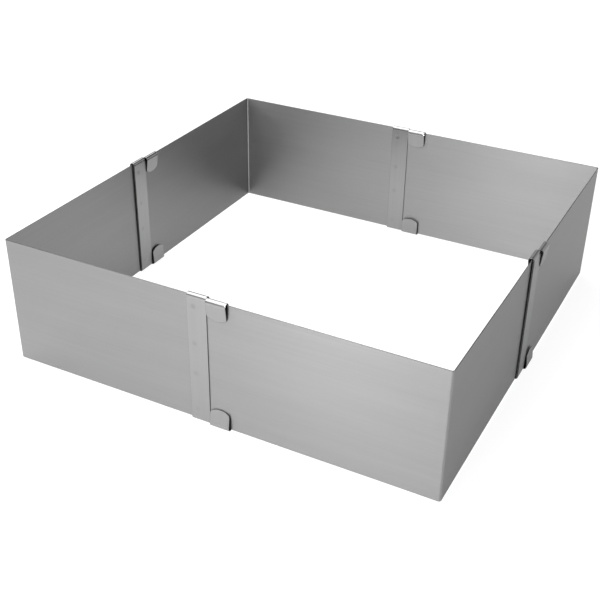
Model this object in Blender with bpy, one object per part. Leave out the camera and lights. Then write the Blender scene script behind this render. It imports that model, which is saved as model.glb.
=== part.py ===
"""Adjustable cake frame, drawn out to its full size.

Four bent corner sheets overlap in the middle of each wall. Every sheet end carries a clip,
spot welded to it, whose spring tabs hook over the neighbouring sheet and ride along it.
Metres, +Z up. The origin is on the table, under the middle of the frame.
"""

import math

import bmesh
import bpy
from mathutils import Matrix, Vector

# Frame, measured outside, fully drawn out
FRAME_WIDTH = 0.290
FRAME_DEPTH = 0.290
WALL_HEIGHT = 0.085

# Corner sheets
SHEET = 0.0005
SLIDE_GAP = 0.0003
CORNER_BEND_INSIDE = 0.0010
CORNER_BEND_STEPS = 6

# Clips
CLIP_SHEET = 0.0005
CLIP_WIDTH = 0.0130
CLIP_BUTT_GAP = 0.0004
SEAT_GAP = 0.0003
HOOK_CLEARANCE = 0.0004
BAND_BEND_INSIDE = 0.0004
BAND_BEND_STEPS = 3
FOLD_BEND_INSIDE = 0.0011
FOLD_BEND_STEPS = 6
TAB_RISE = 0.0017
TAB_TIP_GAP = 0.0003
TAB_REACH = 0.0120
TAB_CROWN = 0.0023
TAB_CROWN_STEPS = 4
TAB_CORNER = 0.0016
TAB_CORNER_STEPS = 3

# Spot welds between a clip and its sheet, seen as shallow dishes in the clip's band
WELD_RADIUS = 0.0018
WELD_FLOOR_RADIUS = 0.0009
WELD_DEPTH = 0.00012
WELD_SEGMENTS = 16
WELD_INSET = 0.0043
WELD_HEIGHT_SHARES = (0.10, 0.37, 0.63, 0.90)
CUT_OVERRUN = 0.0010

# Places that follow from the sizes above
HALF_WIDTH = FRAME_WIDTH / 2
HALF_DEPTH = FRAME_DEPTH / 2
WALL_BASE = CLIP_SHEET + HOOK_CLEARANCE
WALL_TOP = WALL_BASE + WALL_HEIGHT
WALL_MIDDLE = WALL_BASE + WALL_HEIGHT / 2
INNER_STEP = SHEET + SLIDE_GAP
STACK = SHEET + INNER_STEP
CLIP_OFFSET = (CLIP_BUTT_GAP + CLIP_WIDTH) / 2
SHEET_PAST_JOINT = CLIP_BUTT_GAP / 2 + CLIP_WIDTH

SHEET_LOOK = {"colour": (0.45, 0.45, 0.45, 1.0), "roughness": 0.30}
CLIP_LOOK = {"colour": (0.48, 0.48, 0.48, 1.0), "roughness": 0.26}

QUARTER_TURN = math.pi / 2


def clear_scene():
    for scene_object in list(bpy.data.objects):
        bpy.data.objects.remove(scene_object, do_unlink=True)


def steel(name, look):
    """Bare stainless steel, one material for each piece."""
    material = bpy.data.materials.new(name)
    material.use_nodes = True
    shader = material.node_tree.nodes["Principled BSDF"]
    shader.inputs["Base Color"].default_value = look["colour"]
    shader.inputs["Metallic"].default_value = 1.0
    shader.inputs["Roughness"].default_value = look["roughness"]
    return material


def arc(centre, radius, start, end, steps):
    """Points round a centre, with the outward direction at each of them."""
    found = []
    for step in range(steps + 1):
        angle = start + (end - start) * step / steps
        outward = Vector((math.cos(angle), math.sin(angle)))
        found.append((Vector(centre) + radius * outward, outward))
    return found


def mesh_from(name, builder):
    """A mesh whose faces point outwards and whose round stretches are shaded smooth."""
    bmesh.ops.recalc_face_normals(builder, faces=builder.faces)
    mesh = bpy.data.meshes.new(name)
    builder.to_mesh(mesh)
    builder.free()
    mesh.shade_smooth()
    mesh.set_sharp_from_angle(angle=QUARTER_TURN / 3)
    return mesh


def corner_mesh(name, inner_leg, outer_leg):
    """One bent corner sheet, seen from above and extruded to the wall's height.

    The outer faces of its two legs meet at the local origin. The leg that ends as the inner
    sheet of a joint runs along +X, and the leg that ends as the outer sheet along +Y.
    """
    outside_radius = CORNER_BEND_INSIDE + SHEET
    centre = (outside_radius, outside_radius)
    down, left = Vector((0, -1)), Vector((-1, 0))
    bend = arc(centre, CORNER_BEND_INSIDE, -QUARTER_TURN, -2 * QUARTER_TURN, CORNER_BEND_STEPS)
    path = [(Vector((inner_leg, SHEET)), down)]
    path += bend
    path += [(Vector((SHEET, outer_leg)), left)]

    builder = bmesh.new()
    outline = [point for point, _ in path]
    outline += [point + SHEET * outward for point, outward in reversed(path)]
    footprint = builder.faces.new([builder.verts.new((x, y, WALL_BASE)) for x, y in outline])
    raised = bmesh.ops.extrude_face_region(builder, geom=[footprint])
    lifted = [item for item in raised["geom"] if isinstance(item, bmesh.types.BMVert)]
    bmesh.ops.translate(builder, vec=(0, 0, WALL_HEIGHT), verts=lifted)
    return mesh_from(name, builder)


def tab_end():
    """Half widths of a spring tab with its distance from the tip: a shallow crown, then a round corner."""
    half = CLIP_WIDTH / 2
    crown_radius = (half ** 2 + TAB_CROWN ** 2) / (2 * TAB_CROWN)
    corner_x = half - TAB_CORNER
    turn = math.asin(corner_x / (crown_radius - TAB_CORNER))
    corner_z = crown_radius - (crown_radius - TAB_CORNER) * math.cos(turn)
    step = turn / (TAB_CROWN_STEPS + 1 / 2)
    found = []
    for index in range(TAB_CROWN_STEPS + 1):
        angle = step * (index + 1 / 2)
        found.append((crown_radius * math.sin(angle), crown_radius * (1 - math.cos(angle))))
    for index in range(1, TAB_CORNER_STEPS + 1):
        angle = turn + (QUARTER_TURN - turn) * index / TAB_CORNER_STEPS
        found.append((corner_x + TAB_CORNER * math.sin(angle), corner_z - TAB_CORNER * math.cos(angle)))
    return found


def half_clip():
    """Stations from the middle of the band up to the tip of the upper tab.

    Each one is a point on the face that looks at the sheets, the direction away from them, and
    the strip's half width there. In the plane across the wall the band's inner face is at 0, and
    the tab lies beyond the two sheets.
    """
    half = CLIP_WIDTH / 2
    fold_height = WALL_TOP + HOOK_CLEARANCE
    sheets_end = SEAT_GAP + STACK
    band_centre = Vector((BAND_BEND_INSIDE, fold_height - BAND_BEND_INSIDE))
    fold_centre = Vector((sheets_end + TAB_RISE - FOLD_BEND_INSIDE, fold_height - FOLD_BEND_INSIDE))
    tip = Vector((sheets_end + TAB_TIP_GAP, WALL_TOP - TAB_REACH))

    # The tab leaves the fold where a straight line to its tip touches the bend
    reach = tip - fold_centre
    lean = math.atan2(reach.y, reach.x) + math.acos(FOLD_BEND_INSIDE / reach.length)

    stations = []
    for point, outward in arc(band_centre, BAND_BEND_INSIDE, 2 * QUARTER_TURN, QUARTER_TURN, BAND_BEND_STEPS):
        stations.append((point, outward, half))
    for point, outward in arc(fold_centre, FOLD_BEND_INSIDE, QUARTER_TURN, lean, FOLD_BEND_STEPS):
        stations.append((point, outward, half))
    outward = stations[-1][1]
    back = Vector((-outward.y, outward.x))
    for half_width, from_tip in reversed(tab_end()):
        stations.append((tip + from_tip * back, outward, half_width))
    return stations


def clip_mesh(name):
    """A strip with two crowned ends, folded over both edges of the wall, with its weld dishes."""
    upper = half_clip()
    lower = []
    for point, outward, half_width in reversed(upper):
        mirrored = Vector((point.x, 2 * WALL_MIDDLE - point.y))
        lower.append((mirrored, Vector((outward.x, -outward.y)), half_width))

    builder = bmesh.new()
    rings = []
    for point, outward, half_width in lower + upper:
        outer = point + CLIP_SHEET * outward
        corners = [(-half_width, *point), (half_width, *point), (half_width, *outer), (-half_width, *outer)]
        rings.append([builder.verts.new(corner) for corner in corners])
    for ring, following in zip(rings, rings[1:]):
        for index in range(len(ring)):
            after = (index + 1) % len(ring)
            builder.faces.new((ring[index], ring[after], following[after], following[index]))
    builder.faces.new(rings[0])
    builder.faces.new(rings[-1])
    strip = mesh_from(name + "_strip", builder)
    return cut(name, strip, weld_dishes())


def weld_dishes():
    """Cutter for the weld marks: shallow turned dishes in the outer face of the band."""
    floor = WELD_DEPTH - CLIP_SHEET
    mouth = -CLIP_SHEET
    outside = mouth - CUT_OVERRUN
    centre_x = WELD_INSET - CLIP_WIDTH / 2
    rings = [(WELD_FLOOR_RADIUS, floor), (WELD_RADIUS, mouth), (WELD_RADIUS, outside)]
    builder = bmesh.new()
    for share in WELD_HEIGHT_SHARES:
        height = WALL_BASE + share * WALL_HEIGHT
        turned = []
        for radius, y in rings:
            ring = []
            for step in range(WELD_SEGMENTS):
                angle = 4 * QUARTER_TURN * step / WELD_SEGMENTS
                place = (centre_x + radius * math.cos(angle), y, height + radius * math.sin(angle))
                ring.append(builder.verts.new(place))
            turned.append(ring)
        for ring, following in zip(turned, turned[1:]):
            for index in range(WELD_SEGMENTS):
                after = (index + 1) % WELD_SEGMENTS
                builder.faces.new((ring[index], ring[after], following[after], following[index]))
        builder.faces.new(turned[0])
        builder.faces.new(turned[-1])
    return mesh_from("weld_dishes", builder)


def cut(name, body_mesh, cutter_mesh):
    """The body less the cutter, as one plain mesh that every clip shares."""
    body = bpy.data.objects.new(name + "_body", body_mesh)
    cutter = bpy.data.objects.new(name + "_cutter", cutter_mesh)
    for helper in (body, cutter):
        bpy.context.scene.collection.objects.link(helper)
    boolean = body.modifiers.new("weld marks", "BOOLEAN")
    boolean.operation = "DIFFERENCE"
    boolean.solver = "EXACT"
    boolean.object = cutter
    evaluated = body.evaluated_get(bpy.context.evaluated_depsgraph_get())
    finished = bpy.data.meshes.new_from_object(evaluated)
    finished.name = name
    for helper in (body, cutter):
        bpy.data.objects.remove(helper, do_unlink=True)
    return finished


def hang(child, carrier):
    """Parents one object to another without moving it."""
    child.parent = carrier
    child.matrix_parent_inverse = Matrix.Translation(-carrier.location)


def slide_origin(name, place):
    """An empty on a joint's axis, which carries the pieces that slide together."""
    origin = bpy.data.objects.new(name, None)
    origin.location = place
    bpy.context.scene.collection.objects.link(origin)
    return origin


def add_piece(name, mesh, look, origin, placing):
    piece = bpy.data.objects.new(name, mesh)
    bpy.context.scene.collection.objects.link(piece)
    hang(piece, origin)
    piece.matrix_basis = placing
    # The mesh is shared, so the material belongs to the object
    if not mesh.materials:
        mesh.materials.append(None)
    piece.material_slots[0].link = "OBJECT"
    piece.material_slots[0].material = steel(name, look)
    # Flat stretches stay flat beside the bends
    piece.modifiers.new("weighted normals", "WEIGHTED_NORMAL").keep_sharp = True


def wall_turn(wall):
    """The front wall is 0, and the others follow counterclockwise: right 1, back 2, left 3."""
    return Matrix.Rotation(wall * QUARTER_TURN, 4, "Z")


def wall_distance(wall):
    return HALF_DEPTH if wall % 2 == 0 else HALF_WIDTH


def outer_clip_placing(wall):
    """The band lies on the outer sheet and the tabs hook inwards."""
    across = -wall_distance(wall) - SEAT_GAP
    return wall_turn(wall) @ Matrix.Translation((-CLIP_OFFSET, across, 0))


def inner_clip_placing(wall):
    """The same clip turned round: its band lies on the inner sheet and its tabs hook outwards."""
    across = -wall_distance(wall) + STACK + SEAT_GAP
    return wall_turn(wall) @ Matrix.Translation((CLIP_OFFSET, across, 0)) @ wall_turn(2)


def corner_placing(wall):
    """A corner stands at the clockwise end of its wall, where that wall's inner leg starts."""
    back_along = -wall_distance(wall + 1)
    across = -wall_distance(wall) + INNER_STEP
    return wall_turn(wall) @ Matrix.Translation((back_along, across, 0))


def corner_for(name, wall):
    """Leg lengths: along this wall as its inner sheet, and back along the wall before it as the outer one."""
    inner_leg = wall_distance(wall - 1) + SHEET_PAST_JOINT
    outer_leg = wall_distance(wall) - INNER_STEP + SHEET_PAST_JOINT
    return corner_mesh(name, inner_leg, outer_leg)


def joint_place(wall):
    """The middle of a wall's joint, where the two clips meet."""
    return wall_turn(wall) @ Vector((0, -wall_distance(wall), WALL_MIDDLE))


def main():
    clear_scene()
    clip = clip_mesh("clip")
    walls = ("front", "right", "back", "left")
    # Each sliding body is named after its corner, and stands on the joint it slides on: the
    # wall that its corner starts, the wall of its joint, and the body that carries it
    bodies = {
        "front_left": (0, 0, None),
        "front_right": (1, 0, "front_left"),
        "back_right": (2, 1, "front_right"),
        "back_left": (3, 3, "front_left"),
    }
    origins = {}
    for name, (wall, joint_wall, carrier) in bodies.items():
        origin = slide_origin(name, joint_place(joint_wall))
        origins[name] = origin
        if carrier:
            hang(origin, origins[carrier])
        before = (wall - 1) % len(walls)
        sheet = corner_for(name + "_corner", wall)
        add_piece(name + "_corner", sheet, SHEET_LOOK, origin, corner_placing(wall))
        add_piece(walls[wall] + "_inner_clip", clip, CLIP_LOOK, origin, inner_clip_placing(wall))
        add_piece(walls[before] + "_outer_clip", clip, CLIP_LOOK, origin, outer_clip_placing(before))


main()
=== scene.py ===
# %% [markdown]
# # Adjustable cake frame, the looks
#
# The object is a square baking frame of thin stainless steel. Four sheets bent to an L overlap in
# the middle of every wall, and two folded clips at each overlap let the walls slide. The CAD model
# already has the real sizes and the joints, so this lesson only adds what a camera sees: fine
# edges, brushed metal, a floor, light and the camera of the reference photograph.

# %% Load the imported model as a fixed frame
import math

import bmesh
import bpy
from mathutils import Matrix, Vector


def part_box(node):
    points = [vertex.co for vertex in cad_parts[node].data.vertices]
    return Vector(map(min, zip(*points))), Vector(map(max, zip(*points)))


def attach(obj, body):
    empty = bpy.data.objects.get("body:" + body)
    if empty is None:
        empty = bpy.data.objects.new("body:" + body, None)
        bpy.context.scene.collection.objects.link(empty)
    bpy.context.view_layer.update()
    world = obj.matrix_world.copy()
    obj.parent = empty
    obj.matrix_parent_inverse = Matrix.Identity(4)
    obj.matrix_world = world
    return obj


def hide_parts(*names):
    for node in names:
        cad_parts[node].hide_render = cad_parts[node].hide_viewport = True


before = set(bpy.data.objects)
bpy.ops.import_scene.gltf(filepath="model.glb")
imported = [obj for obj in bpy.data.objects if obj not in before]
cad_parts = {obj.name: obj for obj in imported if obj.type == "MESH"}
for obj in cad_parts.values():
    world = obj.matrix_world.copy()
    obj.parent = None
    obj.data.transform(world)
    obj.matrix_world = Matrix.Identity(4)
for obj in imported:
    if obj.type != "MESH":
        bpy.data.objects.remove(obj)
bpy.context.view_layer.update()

print("nodes:", sorted(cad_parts))

scene = bpy.context.scene
scene.view_settings.view_transform = "Standard"

# %% [markdown]
# ## The camera
#
# The camera stands where the photographer's did. Its place was worked out from the eight corners
# of the frame: with the frame's real size known, only one position, turn and lens puts all of them
# where the photograph has them. The photograph leans by 0.8 degrees, and so does the camera.

# %% Camera
CAMERA_PLACE = Vector((0.26747, -0.54903, 0.37348))
CAMERA_AZIMUTH = math.radians(27.4195)
CAMERA_ELEVATION = math.radians(30.7907)
CAMERA_ROLL = math.radians(0.7859)
CAMERA_LENS = 61.297
SENSOR = 36.0
NEAREST = 0.01
FARTHEST = 50

level = Vector((math.cos(CAMERA_AZIMUTH), math.sin(CAMERA_AZIMUTH), 0))
back = Vector((
    math.sin(CAMERA_AZIMUTH) * math.cos(CAMERA_ELEVATION),
    -math.cos(CAMERA_AZIMUTH) * math.cos(CAMERA_ELEVATION),
    math.sin(CAMERA_ELEVATION),
))
upright = back.cross(level)
right = math.cos(CAMERA_ROLL) * level + math.sin(CAMERA_ROLL) * upright
up = back.cross(right)

camera = bpy.data.objects.new("camera", bpy.data.cameras.new("camera"))
scene.collection.objects.link(camera)
camera.matrix_world = Matrix.Translation(CAMERA_PLACE) @ Matrix((right, up, back)).transposed().to_4x4()
camera.data.sensor_width = SENSOR
camera.data.lens = CAMERA_LENS
camera.data.clip_start = NEAREST
camera.data.clip_end = FARTHEST
scene.camera = camera
print("camera at", [round(value, 3) for value in camera.location], "lens", CAMERA_LENS)

# %% [markdown]
# ## Writing shaders as sums
#
# A finish is a small graph of nodes. Wired by hand it is long to read, so a wrapper round a socket
# lets Python's own operators add the Math nodes: `streaks - 0.5` becomes a Subtract node. Every
# other node comes from one method, `node`, which sets the node's settings first and its sockets
# after. `who_looks` tells the kinds of ray apart, for a floor and a room that show the camera plain
# white and the metal something else.

# %% A socket that takes part in sums
class Wire:
    """One output of a node, in the tree it belongs to."""

    def __init__(self, tree, socket=None):
        self.tree = tree
        self.socket = socket

    def node(self, kind, settings=None, inputs=None, output=0):
        """Adds a node. An input is a plain value, or a wire to link. Returns one of its outputs."""
        made = self.tree.nodes.new(kind)
        for name, value in (settings or {}).items():
            setattr(made, name, value)
        for name, value in (inputs or {}).items():
            if isinstance(value, Wire):
                self.tree.links.new(value.socket, made.inputs[name])
            else:
                made.inputs[name].default_value = value
        return Wire(self.tree, made.outputs[output] if made.outputs else None)

    def sum_with(self, operation, first, second):
        return self.node("ShaderNodeMath", {"operation": operation}, {0: first, 1: second})

    def __add__(self, other):
        return self.sum_with("ADD", self, other)

    def __radd__(self, other):
        return self.sum_with("ADD", other, self)

    def __sub__(self, other):
        return self.sum_with("SUBTRACT", self, other)

    def __mul__(self, other):
        return self.sum_with("MULTIPLY", self, other)

    def blend(self, first, second):
        """Mixes two colours, with this wire as the share of the second."""
        return self.node("ShaderNodeMix", {"data_type": "RGBA"}, {0: self, 6: first, 7: second}, 2)

    def ramp(self, start, end, low, high):
        """Goes smoothly from low to high while this wire goes from start to end."""
        return self.node(
            "ShaderNodeMapRange", {"interpolation_type": "SMOOTHSTEP"},
            {"Value": self, "From Min": start, "From Max": end, "To Min": low, "To Max": high})


def grey(value):
    """A grey as the four numbers that a colour socket takes."""
    return (value, value, value, 1)


def emptied(block):
    """A wire to build from, in the cleared tree of a material or a world."""
    block.use_nodes = True
    block.node_tree.nodes.clear()
    return Wire(block.node_tree)


def who_looks(wire):
    """Two masks: the camera's own rays, and those that metal mirrors or glass lets through."""
    directly, in_metal, through = [
        wire.node("ShaderNodeLightPath", output=kind)
        for kind in ("Is Camera Ray", "Is Glossy Ray", "Is Transmission Ray")]
    return directly, in_metal + through


print("a middle grey is written", grey(0.5))

# %% [markdown]
# ## Floor
#
# The photograph has a plain white ground. The floor here is one large plane. If its white came
# from strong lamps, the metal would burn out too, so most of it is a glow that only the camera and
# the mirror rays of metal or glass can see. The rest is a plain matt colour lit by the lamps, which
# keeps the frame's soft shadow. That colour is darker for the camera than for the metal: the
# shadow stays faint in the picture, while the steel still mirrors a floor with light and shade.

# %% Floor
FLOOR_HALF = 6.0
FLOOR_BELOW = 0.0002
FLOOR_SHADE = 0.50
FLOOR_SHADE_SEEN = 0.20
FLOOR_GLOW = 0.49
FLOOR_GLOW_SEEN = 0.90

builder = bmesh.new()
bmesh.ops.create_grid(builder, x_segments=1, y_segments=1, size=FLOOR_HALF)
floor_mesh = bpy.data.meshes.new("floor")
builder.to_mesh(floor_mesh)
builder.free()
floor = bpy.data.objects.new("floor", floor_mesh)
floor.location.z = -FLOOR_BELOW
scene.collection.objects.link(floor)

floor_finish = bpy.data.materials.new("white floor")
wire = emptied(floor_finish)
seen_directly, seen_mirrored = who_looks(wire)
matt = wire.node("ShaderNodeBsdfDiffuse", inputs={
    "Color": seen_directly.blend(grey(FLOOR_SHADE), grey(FLOOR_SHADE_SEEN))})
glow = wire.node("ShaderNodeEmission", inputs={
    "Strength": seen_directly * FLOOR_GLOW_SEEN + seen_mirrored * FLOOR_GLOW})
both = wire.node("ShaderNodeAddShader", inputs={0: matt, 1: glow})
wire.node("ShaderNodeOutputMaterial", inputs={"Surface": both})
floor_finish.cycles.emission_sampling = "NONE"
floor_mesh.materials.append(floor_finish)
print("floor", 2 * FLOOR_HALF, "m wide")

# %% [markdown]
# ## What the metal reflects
#
# Bare steel has hardly a colour of its own: it shows the room. The studio here has white walls up
# to 24 degrees above the ground and a dark ceiling, with the soft boxes hanging below it. A wall of
# the frame mirrors the floor and the foot of the white walls, and stays light. A fold looks into
# every direction at once, so it gets light bands and darker lines, as in the photograph. The room
# could be modelled, but a world shader that reads the direction's height does the same with one
# ramp. The camera itself sees plain white, and matt surfaces get only a trace of light from it.

# %% World
WORLD_LIGHT = 0.05
WORLD_WHITE = 1.0
CEILING_SHADE = 0.20
WALL_RIM = math.sin(math.radians(24))
CEILING_RIM = math.sin(math.radians(31))

world = bpy.data.worlds.new("studio")
wire = emptied(world)
direction = wire.node("ShaderNodeTexCoord", output="Generated")
height = wire.node("ShaderNodeSeparateXYZ", inputs={0: direction}, output="Z")
studio = height.ramp(WALL_RIM, CEILING_RIM, WORLD_WHITE, CEILING_SHADE)
seen_directly, seen_mirrored = who_looks(wire)
strength = (
    WORLD_LIGHT + seen_directly * (WORLD_WHITE - WORLD_LIGHT)
    + seen_mirrored * (studio - WORLD_LIGHT))
surround = wire.node("ShaderNodeBackground", inputs={"Strength": strength})
wire.node("ShaderNodeOutputWorld", inputs={"Surface": surround})
world.cycles.sampling_method = "NONE"
scene.world = world
print("white walls up to", round(math.degrees(math.asin(WALL_RIM))), "degrees")

# %% [markdown]
# ## Lamps
#
# Five soft boxes light the frame, each for one thing that the photograph shows. A small one just
# in front draws the upright highlight on the front wall, and a large one far in front fills the
# rest of it. One on the left lights the ends of the walls that look that way. A very large one
# hangs over the back, where the folds of the clips mirror it as a white band, and another one next
# to it widens that band towards the front. The folds on the left and the right look past both and
# stay grey. The powers were found by matching the render to the tones of the four walls.

# %% Lamps
AIM = Vector((0, 0, 0.04))
SOFTBOXES = (
    # name, place, width, height, power in watts
    ("strip_light", (-0.04, -0.43, 0.30), 0.06, 0.12, 1.05),
    ("front_softbox", (0.2, -1.2, 0.8), 0.6, 0.4, 11.5),
    ("fill_softbox", (-0.55, -0.40, 1.2), 1.0, 1.0, 10.0),
    ("left_softbox", (-0.9, -0.5, 0.5), 0.3, 0.3, 3.6),
    ("overhead_softbox", (-0.53, 0.53, 1.35), 1.1, 1.5, 17.0),
)


def softbox(name, place, width, height, power):
    """A rectangular area lamp that looks at the frame. The camera doesn't see it, but metal does."""
    lamp = bpy.data.objects.new(name, bpy.data.lights.new(name, "AREA"))
    lamp.data.shape = "RECTANGLE"
    lamp.data.size = width
    lamp.data.size_y = height
    lamp.data.energy = power
    lamp.location = place
    lamp.rotation_mode = "QUATERNION"
    lamp.rotation_quaternion = (AIM - Vector(place)).to_track_quat("-Z", "Y")
    lamp.visible_camera = False
    scene.collection.objects.link(lamp)


for numbers in SOFTBOXES:
    softbox(*numbers)

# %% [markdown]
# ## Brushed steel
#
# The sheets and the clips are stainless steel that was brushed along the strip before it was cut.
# The fine scratches spread a reflection across the grain and hardly along it, which is what the
# Anisotropic value does. What can be seen of the scratches themselves is a faint change of tone,
# shine and height in long thin streaks. A picture could give them, but noise that is stretched
# along the strip never repeats. It reads "flat_place", a place on the strip before it was folded,
# which the mesh code stores, so that the grain runs round every fold as it does on the real piece.
# Four more stored marks change the finish. The cut edges are rough and dull, and their darker
# tone is painted shade, for the dark seams where the pieces overlap. Bends are smoother, weld spots
# are burnt a little darker, and the inner face of a clip is darkened as painted shade inside a hook.
# Left as it is, the spread goes sideways, which is across the grain of an upright clip. The grain
# of the sheets lies level, so their spread is turned by a quarter.

# %% Brushed steel
SHEET_COLOUR = 0.30
CLIP_COLOUR = 0.32
SHEET_ROUGHNESS = 0.40
CLIP_ROUGHNESS = 0.36
BRUSHING_PULL = 0.8
SHEET_GRAIN_TURN = 0.25
CLIP_GRAIN_TURN = 0.0
GRAZING_TINT = 0.7
STREAKS_ALONG = 14.0
STREAKS_ACROSS = 700.0
STREAK_DETAIL = 3.0
CLOUDS_ALONG = 9.0
CLOUDS_ACROSS = 60.0
CLOUD_DETAIL = 2.0
STREAK_TONE = 0.05
CLOUD_TONE = 0.05
STREAK_ROUGHNESS = 0.04
SCRATCH_DEPTH = 0.000004
SCRATCH_STRENGTH = 0.38
# Painted shade: the cut edges are darkened to this share, for the dark seams at the joints.
EDGE_SHADE_TONE = 0.45
EDGE_ROUGHNESS = 0.55
BEND_ROUGHNESS = 0.14
WELD_TONE = 0.80
# Painted shade: the inner faces of the clips are darkened to this share, for the shade inside the
# hooks.
HOOK_SHADE_TONE = 0.12


def stretched_noise(wire, along, across, detail):
    """Noise between about 0.3 and 0.7, drawn out along the grain."""
    place = wire.node("ShaderNodeAttribute", {"attribute_name": "flat_place"}, output="Vector")
    stretched = wire.node(
        "ShaderNodeVectorMath", {"operation": "MULTIPLY"}, {0: place, 1: (along, across, 1)})
    return wire.node("ShaderNodeTexNoise", inputs={
        "Vector": stretched, "Scale": 1.0, "Detail": detail})


def brushed_steel(name, colour, roughness, grain_turn):
    """Satin stainless steel, with the marks that making the piece left on it, and painted shade on the
    cut edges and inside the clips.
    """
    material = bpy.data.materials.new(name)
    wire = emptied(material)
    streaks = stretched_noise(wire, STREAKS_ALONG, STREAKS_ACROSS, STREAK_DETAIL)
    clouds = stretched_noise(wire, CLOUDS_ALONG, CLOUDS_ACROSS, CLOUD_DETAIL)
    marks = {}
    for mark in ("cut_edge", "bend", "weld", "hook_shade"):
        marks[mark] = wire.node("ShaderNodeAttribute", {"attribute_name": mark}, output="Fac")

    tone = streaks.blend(grey(colour * (1 - STREAK_TONE)), grey(colour * (1 + STREAK_TONE)))
    cloudy = clouds.blend(grey(1 - CLOUD_TONE), grey(1 + CLOUD_TONE))
    tone = wire.node(
        "ShaderNodeMix", {"data_type": "RGBA", "blend_type": "MULTIPLY"},
        {0: 1.0, 6: tone, 7: cloudy}, 2)
    tone = marks["weld"].blend(tone, grey(colour * WELD_TONE))
    # Painted shade inside the hooks: the inner face of a clip is darkened.
    tone = marks["hook_shade"].blend(tone, grey(colour * HOOK_SHADE_TONE))
    # Painted shade at the rims, for the dark seams where the pieces overlap; their roughness is the
    # real dull cut.
    tone = marks["cut_edge"].blend(tone, grey(colour * EDGE_SHADE_TONE))

    shine = roughness + (streaks - 0.5) * STREAK_ROUGHNESS
    shine = shine + marks["bend"] * (BEND_ROUGHNESS - roughness)
    shine = shine + marks["cut_edge"] * (EDGE_ROUGHNESS - roughness)
    scratches = wire.node("ShaderNodeBump", inputs={
        "Height": streaks, "Strength": SCRATCH_STRENGTH, "Distance": SCRATCH_DEPTH})
    shader = wire.node("ShaderNodeBsdfPrincipled", inputs={
        "Base Color": tone,
        "Metallic": 1.0,
        "Specular Tint": grey(GRAZING_TINT),
        "Roughness": shine,
        "Anisotropic": BRUSHING_PULL,
        "Anisotropic Rotation": grain_turn,
        "Normal": scratches,
    })
    wire.node("ShaderNodeOutputMaterial", inputs={"Surface": shader})
    print(name, "has", len(material.node_tree.nodes), "nodes")
    return material


sheet_steel = brushed_steel("sheet_steel", SHEET_COLOUR, SHEET_ROUGHNESS, SHEET_GRAIN_TURN)
clip_steel = brushed_steel("clip_steel", CLIP_COLOUR, CLIP_ROUGHNESS, CLIP_GRAIN_TURN)

# %% [markdown]
# ## The real sizes
#
# These are the sizes of the CAD model, which this file repeats because it reads nothing but the
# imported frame. The frame measures 290 mm over its outer sheets and its walls are 85 mm high. A
# joint sits in the middle of every wall: the outer sheet ends 13.2 mm past the middle, and so
# does the inner sheet from the other side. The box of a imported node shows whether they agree.

# %% Sizes, in metres
FRAME_HALF = 0.145
WALL_BASE = 0.0009
WALL_HEIGHT = 0.085
SHEET = 0.0005
INNER_STEP = 0.0008
SHEET_PAST_JOINT = 0.0132
CORNER_BEND_INSIDE = 0.0010

WALL_TOP = WALL_BASE + WALL_HEIGHT
WALL_MIDDLE = WALL_BASE + WALL_HEIGHT / 2
INNER_LEG = FRAME_HALF + SHEET_PAST_JOINT
OUTER_LEG = FRAME_HALF - INNER_STEP + SHEET_PAST_JOINT

low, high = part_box("front_left_corner")
print("corner sheet in the CAD:", [round(1000 * value, 2) for value in (*low, *high)], "mm")
print("corner sheet here:", [round(1000 * value, 2) for value in (
    -FRAME_HALF, -FRAME_HALF + INNER_STEP, WALL_BASE,
    -FRAME_HALF + INNER_LEG, -FRAME_HALF + INNER_STEP + OUTER_LEG, WALL_TOP)], "mm")

# %% [markdown]
# ## Folding a strip of sheet metal
#
# Every piece of this object is a flat strip that was cut out, freed of its burr and then folded.
# The mesh is made the same way. First comes the flat outline, as rungs across the strip: how far
# along each rung lies, how wide it is there, and how far the outline has turned at its ends. Then
# every point is carried onto the folded middle line. A solid cut by Booleans would have sharp
# edges, while this keeps a small round edge all the way round, and that thin bright or dark line
# along an edge is what makes thin steel look like steel.

# %% The middle line of a folded strip
def walk_along(start, heading, stretches, distance):
    """The place and the outward direction on a line of straight stretches and right-hand bends.

    A stretch is its length and the angle it turns by. The outward side is on the left.
    """
    place = Vector(start)
    ahead = Vector(heading)
    for index, (length, turn) in enumerate(stretches):
        last = index == len(stretches) - 1
        step = distance if last else max(min(distance, length), 0)
        if index == 0 and distance < 0:
            step = distance
        if turn:
            radius = length / turn
            angle = step / radius
            inward = Vector((ahead.y, -ahead.x))
            place = place + radius * (math.sin(angle) * ahead + (1 - math.cos(angle)) * inward)
            ahead = math.cos(angle) * ahead + math.sin(angle) * inward
        else:
            place = place + step * ahead
        distance -= step
        if distance <= 0:
            break
    return place, Vector((-ahead.y, ahead.x))


def even_steps(start, end, count):
    """Distances between two ends, without the first one."""
    return [start + (end - start) * (step + 1) / count for step in range(count)]


bend_end, _ = walk_along((0, 0), (1, 0), [(1, math.pi / 2)], 1)
print("a quarter bend 1 m long ends at", [round(value, 3) for value in bend_end])

# %% [markdown]
# ## From rungs to a closed mesh
#
# Every rung becomes a closed loop of points: across the outer face, round one edge, back across
# the inner face and round the other edge. Neighbouring loops are joined by faces, and the first
# and the last are closed. Each point also remembers where it lay on the flat strip, and each face
# of the rim is marked as a cut edge, for the steel to read. The place has a third number, which
# differs from piece to piece and from face to face, so that no two show the same scratches.

# %% A strip with round edges
EDGE_RADIUS = 0.00012
EDGE_STEPS = 3
FACE_SHIFT = 0.25


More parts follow.
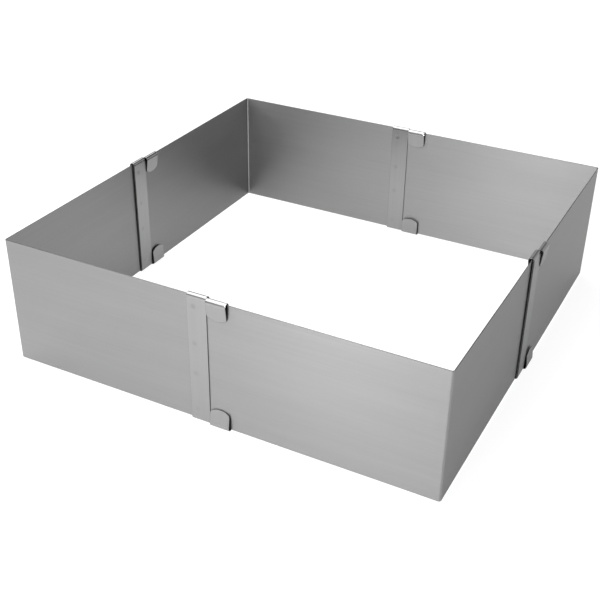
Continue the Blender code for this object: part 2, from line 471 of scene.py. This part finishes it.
def folded_strip(name, rungs, thickness, line, place_of, shares, lift, marks, seed):
    """A closed strip. A rung is (distance, half width, lean of the outline).

    The shares say where points lie across the outer and the inner face. The functions lift and
    marks take a place on the strip, and give the height and the stored marks there.
    """
    builder = bmesh.new()
    flat_place = builder.verts.layers.float_vector.new("flat_place")
    cut_edge = builder.faces.layers.float.new("cut_edge")
    mark_layers = {mark: builder.verts.layers.float.new(mark) for mark in ("bend", "weld", "hook_shade")}
    outer_shares, inner_shares = shares
    flat = thickness / 2 - EDGE_RADIUS
    quarter = math.pi / 2
    turns = [quarter * step / EDGE_STEPS for step in range(1, EDGE_STEPS + 1)]
    back_turns = turns[::-1]

    def loop_parts(distance, half_width, lean):
        """The points of one rung: outer face, right edge, inner face, left edge."""
        across = math.cos(lean)
        along = math.sin(lean)

        def point(share, side, angle):
            """One point of the rim's round edge, or of a face where the angle is zero."""
            inset = EDGE_RADIUS * (1 - math.sin(angle))
            x = share * (half_width - inset * across)
            s = distance - inset * along
            middle, outward = line(s)
            depth = side * (flat + EDGE_RADIUS * math.cos(angle)) + lift(s, x, side)
            made = builder.verts.new(place_of(middle + depth * outward, x))
            made[flat_place] = (s, x, seed + side * FACE_SHIFT)
            for mark, value in marks(s, x, side).items():
                made[mark_layers[mark]] = value
            return made

        over = [point(share, 1, 0) for share in outer_shares]
        right = [point(1, 1, angle) for angle in turns]
        right += [point(1, -1, angle) for angle in back_turns]
        under = [point(share, -1, 0) for share in reversed(inner_shares)]
        left = [point(-1, -1, angle) for angle in turns]
        left += [point(-1, 1, angle) for angle in back_turns]
        return over, right, under, left

    def rim_face(corners):
        builder.faces.new(corners)[cut_edge] = 1.0

    loops_in_parts = [loop_parts(*rung) for rung in rungs]
    loops = [sum(parts, []) for parts in loops_in_parts]
    outer_end = len(outer_shares) - 1
    inner_start = len(outer_shares) + 2 * EDGE_STEPS
    inner_end = inner_start + len(inner_shares) - 1
    for loop, following in zip(loops, loops[1:]):
        for index in range(len(loop)):
            after = (index + 1) % len(loop)
            face = builder.faces.new((loop[index], loop[after], following[after], following[index]))
            face[cut_edge] = 0.0 if index < outer_end or inner_start <= index < inner_end else 1.0
    for over, right, under, left in (loops_in_parts[0], loops_in_parts[-1]):
        mirrored = list(reversed(left))
        rim_face(over + [right[0], mirrored[0]])
        for index in range(len(right) - 1):
            rim_face((right[index], right[index + 1], mirrored[index + 1], mirrored[index]))
        rim_face([right[-1]] + under + [mirrored[-1]])
    bmesh.ops.recalc_face_normals(builder, faces=builder.faces)
    mesh = bpy.data.meshes.new(name)
    builder.to_mesh(mesh)
    builder.free()
    mesh.shade_smooth()
    return mesh


print("edges rounded to", round(1000 * EDGE_RADIUS, 2), "mm")

# %% [markdown]
# ## The end of a strip
#
# A sharp corner of thin steel cuts, so the tool that cuts out the blank rounds it off. The corners
# of the sheets are hardly rounded. The tabs of the clips are rounded well and bulge a little in
# between, which is called a crown. Both ends come from the same helper: an arc for the corner, and
# then, for a tab, a flatter arc up to the tip. The corner could be beveled afterwards instead, but
# then its points wouldn't know how far the outline has turned, which the round edge needs.

# %% A rounded end
def rounded_end(half_width, crown, corner, crown_steps, corner_steps):
    """Rungs of a strip's end, from the widest to the tip: a corner arc and then a shallow crown.

    Each is (distance before the tip, half width, lean). A crown of zero is a straight end. With a
    crown, the last rung lies half a step before the tip, and the end face closes the strip there.
    """
    quarter = math.pi / 2
    found = []
    if crown:
        crown_radius = (half_width ** 2 + crown ** 2) / (2 * crown)
        corner_x = half_width - corner
        turn = math.asin(corner_x / (crown_radius - corner))
        corner_z = crown_radius - (crown_radius - corner) * math.cos(turn)
    else:
        corner_x, corner_z, turn = half_width - corner, corner, 0
    for index in range(corner_steps + 1):
        angle = quarter + (turn - quarter) * index / corner_steps
        found.append((
            corner_z - corner * math.cos(angle), corner_x + corner * math.sin(angle), quarter - angle))
    if crown:
        for index in range(1, crown_steps + 1):
            angle = turn * (1 - index / (crown_steps + 1 / 2))
            found.append((
                crown_radius * (1 - math.cos(angle)), crown_radius * math.sin(angle), quarter - angle))
    return found


print("a half round end in rungs:", [
    (round(before, 2), round(width, 2)) for before, width, _ in rounded_end(1, 0, 1, 0, 3)])

# %% [markdown]
# ## The corner sheets
#
# Each corner sheet is one strip of 0.5 mm steel, 85 mm wide, bent once. It would be easy to leave
# its legs perfectly flat, but such thin sheet never is: it waves by less than a tenth of a
# millimetre, and a soft reflection shows it. Four sine waves of different lengths give that.

# %% Corner sheet mesh
SHEET_END_CORNER = 0.0004
BEND_STEPS = 12
LEG_STEPS = 16
HEIGHT_STEPS = 12
WAVES = (
    (0.110, 0.150, 0.00003), (0.071, -0.120, 0.00002),
    (0.160, 0.060, 0.00002), (0.046, 0.085, 0.00001))


def sheet_wave(distance, height, seed):
    """How far a sheet stands out of its plane: (length along, length up, how far) of each wave."""
    total = 0
    for number, (along, upward, reach) in enumerate(WAVES):
        phase = 2 * math.pi * (distance / along + height / upward) + seed * (number + 1)
        total += reach * math.sin(phase)
    return total


def corner_sheet(name, seed):
    """The inner leg starts at the end in +X, and the outer leg runs along +Y."""
    radius = CORNER_BEND_INSIDE + SHEET / 2
    bend = radius * math.pi / 2
    flat_inner = INNER_LEG - CORNER_BEND_INSIDE - SHEET
    flat_outer = OUTER_LEG - CORNER_BEND_INSIDE - SHEET
    length = flat_inner + bend + flat_outer
    stretches = [(flat_inner, 0), (bend, math.pi / 2), (flat_outer, 0)]

    def line(distance):
        return walk_along((INNER_LEG, SHEET / 2), (-1, 0), stretches, distance)

    end = rounded_end(WALL_HEIGHT / 2, 0, SHEET_END_CORNER, 0, EDGE_STEPS)
    distances = even_steps(SHEET_END_CORNER, flat_inner, LEG_STEPS)
    distances += even_steps(flat_inner, flat_inner + bend, BEND_STEPS)
    distances += even_steps(flat_inner + bend, length - SHEET_END_CORNER, LEG_STEPS)[:-1]
    rungs = [(before, half, -lean) for before, half, lean in reversed(end)]
    rungs += [(distance, WALL_HEIGHT / 2, 0) for distance in distances]
    rungs += [(length - before, half, lean) for before, half, lean in end]
    shares = [2 * step / HEIGHT_STEPS - 1 for step in range(HEIGHT_STEPS + 1)]
    return folded_strip(
        name, rungs, SHEET, line,
        place_of=lambda point, across: (point.x, point.y, WALL_MIDDLE + across),
        shares=(shares, shares), seed=seed,
        lift=lambda distance, across, side: sheet_wave(distance, across, seed),
        marks=lambda distance, across, side: {})


print("waves up to", round(1000 * sum(reach for _, _, reach in WAVES), 3), "mm out of the plane")

# %% [markdown]
# ## Placing pieces on a wall
#
# The frame looks the same from all four sides, so each piece is made as if for the front wall and
# then turned about the middle to its own. A finished mesh takes the place of its CAD node: it rides
# on the same body, so it follows the joints, and it gets the steel that it is handed.

# %% Placing pieces on a wall
def wall_turn(wall):
    """The front wall is 0, and the others follow counterclockwise: right 1, back 2, left 3."""
    return Matrix.Rotation(wall * math.pi / 2, 4, "Z")


def add_piece(name, mesh, placing, body, node, finish):
    """Puts a finished mesh where its CAD node is, and lets it stand for that node."""
    mesh.transform(placing)
    mesh.materials.append(finish)
    piece = bpy.data.objects.new(name, mesh)
    scene.collection.objects.link(piece)
    piece.modifiers.new("weighted normals", "WEIGHTED_NORMAL").keep_sharp = True
    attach(piece, body)
    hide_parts(node)
    return piece


BODIES = ("front_left", "front_right", "back_right", "back_left")
for wall, body in enumerate(BODIES):
    name = body + "_sheet"
    placing = wall_turn(wall) @ Matrix.Translation((-FRAME_HALF, -FRAME_HALF + INNER_STEP, 0))
    mesh = corner_sheet(name, wall + 1)
    sheet = add_piece(name, mesh, placing, body, body + "_corner", sheet_steel)
    print(name, len(sheet.data.polygons), "faces")

# %% [markdown]
# ## The spring clips
#
# A clip is a strip 13 mm wide, spot welded to the end of a sheet. Above and below the wall it
# folds over both sheets, and its tabs press on the far side, so the neighbour slides in a hook
# that springs. All eight clips are the same strip, turned one way or the other. Seen from the side
# it is a tab, a fold, a short flat top, a bend and the band, and then the same in reverse. Only the
# tab's lean has to be worked out: the tab touches the fold's circle and ends at its tip's place.
# The CAD keeps SEAT_GAP between a clip and its own sheet. A weld leaves hardly any, so the band
# here lies WELDED_GAP from it.

# %% The side view of a clip
CLIP_SHEET = 0.0005
HALF_CLIP_SHEET = CLIP_SHEET / 2
HOOK_CLEARANCE = 0.0004
SEAT_GAP = 0.0003
WELDED_GAP = 0.00002
STACK = SHEET + INNER_STEP
BAND_BEND_INSIDE = 0.0012
FOLD_BEND_INSIDE = 0.0016
TAB_RISE = 0.00168
TAB_REACH = 0.0120
UPPER_TIP_GAP = 0.0003

fold_height = WALL_TOP + HOOK_CLEARANCE
tab_foot = SEAT_GAP + STACK + TAB_RISE
fold_centre = Vector((tab_foot - FOLD_BEND_INSIDE, fold_height - FOLD_BEND_INSIDE))
flat_top = fold_centre.x - (SEAT_GAP - WELDED_GAP) - BAND_BEND_INSIDE
band_bend = (BAND_BEND_INSIDE + HALF_CLIP_SHEET) * math.pi / 2
band = 2 * (fold_height - BAND_BEND_INSIDE - WALL_MIDDLE)
band_foot = WALL_MIDDLE - band / 2


def tab_and_fold(tip_gap):
    """A tab's length, its fold's length and turn, the middle of its tip and where it faces."""
    tip = Vector((SEAT_GAP + STACK + tip_gap, WALL_TOP - TAB_REACH))
    reach = tip - fold_centre
    outward_angle = math.atan2(reach.y, reach.x) + math.acos(FOLD_BEND_INSIDE / reach.length)
    outward = Vector((math.cos(outward_angle), math.sin(outward_angle)))
    turn = math.pi / 2 - outward_angle
    fold = (FOLD_BEND_INSIDE + HALF_CLIP_SHEET) * turn
    tab = math.sqrt(reach.length ** 2 - FOLD_BEND_INSIDE ** 2)
    return tab, fold, turn, tip + HALF_CLIP_SHEET * outward, outward


high_tab, high_fold, high_turn, _, _ = tab_and_fold(UPPER_TIP_GAP)
print("flat parts, in mm: tab", round(1000 * high_tab, 1), "top", round(1000 * flat_top, 1),
      "band", round(1000 * band, 1))
print("the fold turns by", round(math.degrees(high_turn)), "degrees")

# %% [markdown]
# ## The weld marks
#
# A spot weld leaves the round mark of its electrode: a shallow dent in the band's outer face, with
# a slightly raised rim and a darker tone. There are four on each band, and in the photograph they
# fade from the top one down, so each has its own strength. A bump in the material could draw them,
# but a dent in the mesh stays with the piece wherever it is used.

# %% Weld marks
CLIP_WIDTH = 0.0130
WELD_RADIUS = 0.0018
WELD_DEPTH = 0.00008
WELD_RIM = 0.00002
RIM_PLACE = 1.05
RIM_WIDTH = 0.16
BURN_WIDTH = 0.8
WELD_INSET = 0.0043
WELD_HEIGHT_SHARES = (0.09, 0.39, 0.63, 0.92)
WELD_STRENGTHS = (0.4, 0.6, 0.7, 1.0)

WELD_X = WELD_INSET - CLIP_WIDTH / 2
weld_heights = [WALL_BASE + share * WALL_HEIGHT for share in WELD_HEIGHT_SHARES]


def weld_shape(x, height):
    """The height and the darkness of the weld marks at a place on the band's outer face."""
    rise = 0
    burn = 0
    for weld_height, strength in zip(weld_heights, WELD_STRENGTHS):
        share = math.hypot(x - WELD_X, height - weld_height) / WELD_RADIUS
        if share < 1:
            rise -= strength * WELD_DEPTH * (1 - share ** 4) ** 2
        rise += strength * WELD_RIM * math.exp(-((share - RIM_PLACE) / RIM_WIDTH) ** 2)
        burn += strength * math.exp(-(share / BURN_WIDTH) ** 2)
    return rise, min(burn, 1)


print("weld heights:", [round(1000 * height, 1) for height in weld_heights], "mm")

# %% [markdown]
# ## One spring clip
#
# The clip's middle line starts at the lower tip, goes down the tab, round the fold, along the flat
# bottom and up the band, and comes back over the top in the same way. The tabs are bent by hand
# tools and don't spring alike: in the photograph most lower tabs stand further off the wall than
# the upper ones, and not all equally, so the gap at a lower tip is given for each wall. Extra
# rungs and columns lie only where the weld marks are, because a dent needs points. The polish of a
# fold fades into the brushed band and tab over POLISH_FADE, which is why a rung lies there too.

# %% Spring clip mesh
TAB_CROWN = 0.0023
TAB_CORNER = 0.0016
TAB_STEPS = 4
CROWN_STEPS = 10
CORNER_STEPS = 6
FOLD_STEPS = 14
TOP_STEPS = 2
BAND_BEND_STEPS = 6
POLISH_FADE = 0.0006
WELD_PATCH = 1.4 * WELD_RADIUS
WELD_CELLS = 12
INNER_SHARES = (-1, 0, 1)

tab_end = rounded_end(CLIP_WIDTH / 2, TAB_CROWN, TAB_CORNER, CROWN_STEPS, CORNER_STEPS)


def rungs_from_tip(tab, fold):
    """Where the rungs lie on a tab, its fold, the flat on top and the bend to the band."""
    found = even_steps(tab_end[0][0], tab - POLISH_FADE, TAB_STEPS) + [tab]
    found += even_steps(tab, tab + fold, FOLD_STEPS)
    found += even_steps(tab + fold, tab + fold + flat_top, TOP_STEPS)
    found += even_steps(tab + fold + flat_top, tab + fold + flat_top + band_bend, BAND_BEND_STEPS)
    return found + [tab + fold + flat_top + band_bend + POLISH_FADE]


def spring_clip(name, seed, lower_tip_gap):
    """The strip from its lower tip to its upper tip. The band's inner face looks along +Y."""
    low_tab, low_fold, low_turn, low_tip, low_outward = tab_and_fold(lower_tip_gap)
    quarter = math.pi / 2
    stretches = [
        (low_tab, 0), (low_fold, low_turn), (flat_top, 0), (band_bend, quarter), (band, 0),
        (band_bend, quarter), (flat_top, 0), (high_fold, high_turn), (high_tab, 0)]
    length = sum(stretch for stretch, _ in stretches)
    band_start = low_tab + low_fold + flat_top + band_bend
    band_end = band_start + band

    def line(distance):
        start = (low_tip.x, 2 * WALL_MIDDLE - low_tip.y)
        return walk_along(start, (-low_outward.y, -low_outward.x), stretches, distance)

    def lift(distance, x, side):
        if side < 0 or not band_start < distance < band_end:
            return 0
        return weld_shape(x, band_foot + distance - band_start)[0]

    def marks(distance, x, side):
        folded = low_tab <= distance <= band_start or band_end <= distance <= length - high_tab
        # The inner face of a clip gets painted shade, for the shade inside the hook.
        found = {"bend": float(folded), "hook_shade": float(side < 0)}
        if side > 0 and band_start < distance < band_end:
            found["weld"] = weld_shape(x, band_foot + distance - band_start)[1]
        return found

    half_width = CLIP_WIDTH / 2
    distances = rungs_from_tip(low_tab, low_fold)
    distances += [length - distance for distance in rungs_from_tip(high_tab, high_fold)]
    for weld_height in weld_heights:
        first = band_start + weld_height - band_foot - WELD_PATCH
        distances += [first] + even_steps(first, first + 2 * WELD_PATCH, WELD_CELLS)
    rungs = [(before, width, -lean) for before, width, lean in reversed(tab_end)]
    rungs += [(distance, half_width, 0) for distance in sorted(distances)]
    rungs += [(length - before, width, lean) for before, width, lean in tab_end]
    first_column = WELD_X - WELD_PATCH
    columns = [first_column] + even_steps(first_column, first_column + 2 * WELD_PATCH, WELD_CELLS)
    outer_shares = [-1] + [column / half_width for column in columns] + [0.5, 1]
    return folded_strip(
        name, rungs, CLIP_SHEET, line,
        place_of=lambda point, across: (across, point.x, point.y),
        shares=(outer_shares, INNER_SHARES), lift=lift, marks=marks, seed=seed)


upper_hook = rungs_from_tip(high_tab, high_fold)
print(len(tab_end), "rungs at the end of a tab, and", len(upper_hook), "on to the band")

# %% [markdown]
# ## Eight clips
#
# At each joint one clip sits outside, on the sheet whose leg is the outer one, and one inside, on
# the other sheet. The inner clip is the same strip turned half round. The last lines of the cell
# print a clip's box beside its CAD node's. They agree to a hundredth of a millimetre, apart from
# the band's outer face, which lies a quarter of a millimetre closer to the sheet.

# %% Eight clips
WALLS = ("front", "right", "back", "left")
LOWER_TIP_GAPS = {"front": 0.0002, "right": 0.0009, "back": 0.0011, "left": 0.0009}
CLIP_OFFSET = 0.0067
FIRST_CLIP_SEED = 10

clips = []
for wall, wall_name in enumerate(WALLS):
    outer_body = BODIES[(wall + 1) % len(BODIES)]
    inner_body = BODIES[wall]
    outer_place = wall_turn(wall) @ Matrix.Translation((-CLIP_OFFSET, -FRAME_HALF - SEAT_GAP, 0))
    inner_shift = Matrix.Translation((CLIP_OFFSET, -FRAME_HALF + STACK + SEAT_GAP, 0))
    inner_place = wall_turn(wall) @ inner_shift @ wall_turn(2)
    for side, body, placing in (("outer", outer_body, outer_place), ("inner", inner_body, inner_place)):
        node = f"{wall_name}_{side}_clip"
        name = f"{wall_name}_{side}_spring_clip"
        mesh = spring_clip(name, FIRST_CLIP_SEED + len(clips), LOWER_TIP_GAPS[wall_name])
        clips.append(add_piece(name, mesh, placing, body, node, clip_steel))
low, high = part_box("front_outer_clip")
print("clip in the CAD:", [round(1000 * value, 2) for value in (*low, *high)], "mm")
corners = [clips[0].matrix_world @ vertex.co for vertex in clips[0].data.vertices]
clip_box = [pick(corner[axis] for corner in corners) for pick in (min, max) for axis in range(3)]
print("clip here:", [round(1000 * value, 2) for value in clip_box], "mm")
print("faces in one clip:", len(clips[0].data.polygons))
